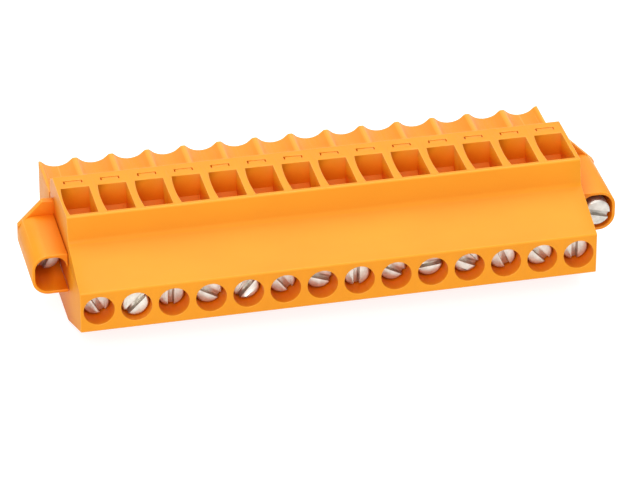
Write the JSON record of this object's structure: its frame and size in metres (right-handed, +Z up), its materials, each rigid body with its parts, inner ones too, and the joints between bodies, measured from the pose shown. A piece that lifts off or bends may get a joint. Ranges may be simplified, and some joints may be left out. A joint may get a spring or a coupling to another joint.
{
  "type": "pluggable terminal block",
  "caption": "Orange pluggable screw-clamp terminal block with wire entries on top, slotted clamp screws in front and a locking screw in a flange at each end.",
  "frame": {"origin": "Middle of the footprint, on the surface that the block lies on.", "axes": "+X along the row of poles, +Y the way the plug is pushed into its header, +Z up, towards the wire entries."},
  "size_m": [0.0812, 0.0318, 0.0168],
  "materials": {
    "orange_plastic": "satin moulded",
    "screw_steel": "zinc plated",
    "yoke_steel": "nickel plated",
    "contact_tin": "tin plated"
  },
  "bodies": {
    "block": {"housing": "orange_plastic", "flange_left": "orange_plastic", "flange_right": "orange_plastic", "contact_01": "contact_tin", "contact_02": "contact_tin", "contact_03": "contact_tin", "contact_04": "contact_tin", "contact_05": "contact_tin", "contact_06": "contact_tin", "contact_07": "contact_tin", "contact_08": "contact_tin", "contact_09": "contact_tin", "contact_10": "contact_tin", "contact_11": "contact_tin", "contact_12": "contact_tin", "contact_13": "contact_tin", "contact_14": "contact_tin"},
    "screw_01": {"clamp_screw_01": "screw_steel"},
    "yoke_01": {"clamp_yoke_01": "yoke_steel"},
    "screw_02": {"clamp_screw_02": "screw_steel"},
    "yoke_02": {"clamp_yoke_02": "yoke_steel"},
    "screw_03": {"clamp_screw_03": "screw_steel"},
    "yoke_03": {"clamp_yoke_03": "yoke_steel"},
    "screw_04": {"clamp_screw_04": "screw_steel"},
    "yoke_04": {"clamp_yoke_04": "yoke_steel"},
    "screw_05": {"clamp_screw_05": "screw_steel"},
    "yoke_05": {"clamp_yoke_05": "yoke_steel"},
    "screw_06": {"clamp_screw_06": "screw_steel"},
    "yoke_06": {"clamp_yoke_06": "yoke_steel"},
    "screw_07": {"clamp_screw_07": "screw_steel"},
    "yoke_07": {"clamp_yoke_07": "yoke_steel"},
    "screw_08": {"clamp_screw_08": "screw_steel"},
    "yoke_08": {"clamp_yoke_08": "yoke_steel"},
    "screw_09": {"clamp_screw_09": "screw_steel"},
    "yoke_09": {"clamp_yoke_09": "yoke_steel"},
    "screw_10": {"clamp_screw_10": "screw_steel"},
    "yoke_10": {"clamp_yoke_10": "yoke_steel"},
    "screw_11": {"clamp_screw_11": "screw_steel"},
    "yoke_11": {"clamp_yoke_11": "yoke_steel"},
    "screw_12": {"clamp_screw_12": "screw_steel"},
    "yoke_12": {"clamp_yoke_12": "yoke_steel"},
    "screw_13": {"clamp_screw_13": "screw_steel"},
    "yoke_13": {"clamp_yoke_13": "yoke_steel"},
    "screw_14": {"clamp_screw_14": "screw_steel"},
    "yoke_14": {"clamp_yoke_14": "yoke_steel"},
    "locking_screw_left": {"flange_screw_left": "screw_steel"},
    "locking_screw_right": {"flange_screw_right": "screw_steel"}
  },
  "joints": [
    {"name": "clamp_screw_turn_01", "type": "hinge", "parent": "block", "child": "screw_01", "pos_m": [-0.03302, -0.01355, 0.00727], "axis": [0, 1, 0], "range_deg": [0, 2020]},
    {"name": "yoke_draw_01", "type": "slide", "parent": "block", "child": "yoke_01", "axis": [0, -1, 0], "range_m": [0, 0.0028]},
    {"name": "clamp_screw_turn_02", "type": "hinge", "parent": "block", "child": "screw_02", "pos_m": [-0.02794, -0.01355, 0.00727], "axis": [0, 1, 0], "range_deg": [0, 2020]},
    {"name": "yoke_draw_02", "type": "slide", "parent": "block", "child": "yoke_02", "axis": [0, -1, 0], "range_m": [0, 0.0028]},
    {"name": "clamp_screw_turn_03", "type": "hinge", "parent": "block", "child": "screw_03", "pos_m": [-0.02286, -0.01355, 0.00727], "axis": [0, 1, 0], "range_deg": [0, 2020]},
    {"name": "yoke_draw_03", "type": "slide", "parent": "block", "child": "yoke_03", "axis": [0, -1, 0], "range_m": [0, 0.0028]},
    {"name": "clamp_screw_turn_04", "type": "hinge", "parent": "block", "child": "screw_04", "pos_m": [-0.01778, -0.01355, 0.00727], "axis": [0, 1, 0], "range_deg": [0, 2020]},
    {"name": "yoke_draw_04", "type": "slide", "parent": "block", "child": "yoke_04", "axis": [0, -1, 0], "range_m": [0, 0.0028]},
    {"name": "clamp_screw_turn_05", "type": "hinge", "parent": "block", "child": "screw_05", "pos_m": [-0.0127, -0.01355, 0.00727], "axis": [0, 1, 0], "range_deg": [0, 2020]},
    {"name": "yoke_draw_05", "type": "slide", "parent": "block", "child": "yoke_05", "axis": [0, -1, 0], "range_m": [0, 0.0028]},
    {"name": "clamp_screw_turn_06", "type": "hinge", "parent": "block", "child": "screw_06", "pos_m": [-0.00762, -0.01355, 0.00727], "axis": [0, 1, 0], "range_deg": [0, 2020]},
    {"name": "yoke_draw_06", "type": "slide", "parent": "block", "child": "yoke_06", "axis": [0, -1, 0], "range_m": [0, 0.0028]},
    {"name": "clamp_screw_turn_07", "type": "hinge", "parent": "block", "child": "screw_07", "pos_m": [-0.00254, -0.01355, 0.00727], "axis": [0, 1, 0], "range_deg": [0, 2020]},
    {"name": "yoke_draw_07", "type": "slide", "parent": "block", "child": "yoke_07", "axis": [0, -1, 0], "range_m": [0, 0.0028]},
    {"name": "clamp_screw_turn_08", "type": "hinge", "parent": "block", "child": "screw_08", "pos_m": [0.00254, -0.01355, 0.00727], "axis": [0, 1, 0], "range_deg": [0, 2020]},
    {"name": "yoke_draw_08", "type": "slide", "parent": "block", "child": "yoke_08", "axis": [0, -1, 0], "range_m": [0, 0.0028]},
    {"name": "clamp_screw_turn_09", "type": "hinge", "parent": "block", "child": "screw_09", "pos_m": [0.00762, -0.01355, 0.00727], "axis": [0, 1, 0], "range_deg": [0, 2020]},
    {"name": "yoke_draw_09", "type": "slide", "parent": "block", "child": "yoke_09", "axis": [0, -1, 0], "range_m": [0, 0.0028]},
    {"name": "clamp_screw_turn_10", "type": "hinge", "parent": "block", "child": "screw_10", "pos_m": [0.0127, -0.01355, 0.00727], "axis": [0, 1, 0], "range_deg": [0, 2020]},
    {"name": "yoke_draw_10", "type": "slide", "parent": "block", "child": "yoke_10", "axis": [0, -1, 0], "range_m": [0, 0.0028]},
    {"name": "clamp_screw_turn_11", "type": "hinge", "parent": "block", "child": "screw_11", "pos_m": [0.01778, -0.01355, 0.00727], "axis": [0, 1, 0], "range_deg": [0, 2020]},
    {"name": "yoke_draw_11", "type": "slide", "parent": "block", "child": "yoke_11", "axis": [0, -1, 0], "range_m": [0, 0.0028]},
    {"name": "clamp_screw_turn_12", "type": "hinge", "parent": "block", "child": "screw_12", "pos_m": [0.02286, -0.01355, 0.00727], "axis": [0, 1, 0], "range_deg": [0, 2020]},
    {"name": "yoke_draw_12", "type": "slide", "parent": "block", "child": "yoke_12", "axis": [0, -1, 0], "range_m": [0, 0.0028]},
    {"name": "clamp_screw_turn_13", "type": "hinge", "parent": "block", "child": "screw_13", "pos_m": [0.02794, -0.01355, 0.00727], "axis": [0, 1, 0], "range_deg": [0, 2020]},
    {"name": "yoke_draw_13", "type": "slide", "parent": "block", "child": "yoke_13", "axis": [0, -1, 0], "range_m": [0, 0.0028]},
    {"name": "clamp_screw_turn_14", "type": "hinge", "parent": "block", "child": "screw_14", "pos_m": [0.03302, -0.01355, 0.00727], "axis": [0, 1, 0], "range_deg": [0, 2020]},
    {"name": "yoke_draw_14", "type": "slide", "parent": "block", "child": "yoke_14", "axis": [0, -1, 0], "range_m": [0, 0.0028]},
    {"name": "flange_screw_float_left", "type": "slide", "parent": "block", "child": "locking_screw_left", "axis": [0, 1, 0], "range_m": [-0.0052, 0]},
    {"name": "flange_screw_float_right", "type": "slide", "parent": "block", "child": "locking_screw_right", "axis": [0, 1, 0], "range_m": [0, 0.0052]}
  ],
  "couplings": [
    {"joint": "clamp_screw_turn_01", "follows": "yoke_draw_01", "rad_per_m": 12566},
    {"joint": "clamp_screw_turn_02", "follows": "yoke_draw_02", "rad_per_m": 12566},
    {"joint": "clamp_screw_turn_03", "follows": "yoke_draw_03", "rad_per_m": 12566},
    {"joint": "clamp_screw_turn_04", "follows": "yoke_draw_04", "rad_per_m": 12566},
    {"joint": "clamp_screw_turn_05", "follows": "yoke_draw_05", "rad_per_m": 12566},
    {"joint": "clamp_screw_turn_06", "follows": "yoke_draw_06", "rad_per_m": 12566},
    {"joint": "clamp_screw_turn_07", "follows": "yoke_draw_07", "rad_per_m": 12566},
    {"joint": "clamp_screw_turn_08", "follows": "yoke_draw_08", "rad_per_m": 12566},
    {"joint": "clamp_screw_turn_09", "follows": "yoke_draw_09", "rad_per_m": 12566},
    {"joint": "clamp_screw_turn_10", "follows": "yoke_draw_10", "rad_per_m": 12566},
    {"joint": "clamp_screw_turn_11", "follows": "yoke_draw_11", "rad_per_m": 12566},
    {"joint": "clamp_screw_turn_12", "follows": "yoke_draw_12", "rad_per_m": 12566},
    {"joint": "clamp_screw_turn_13", "follows": "yoke_draw_13", "rad_per_m": 12566},
    {"joint": "clamp_screw_turn_14", "follows": "yoke_draw_14", "rad_per_m": 12566}
  ]
}
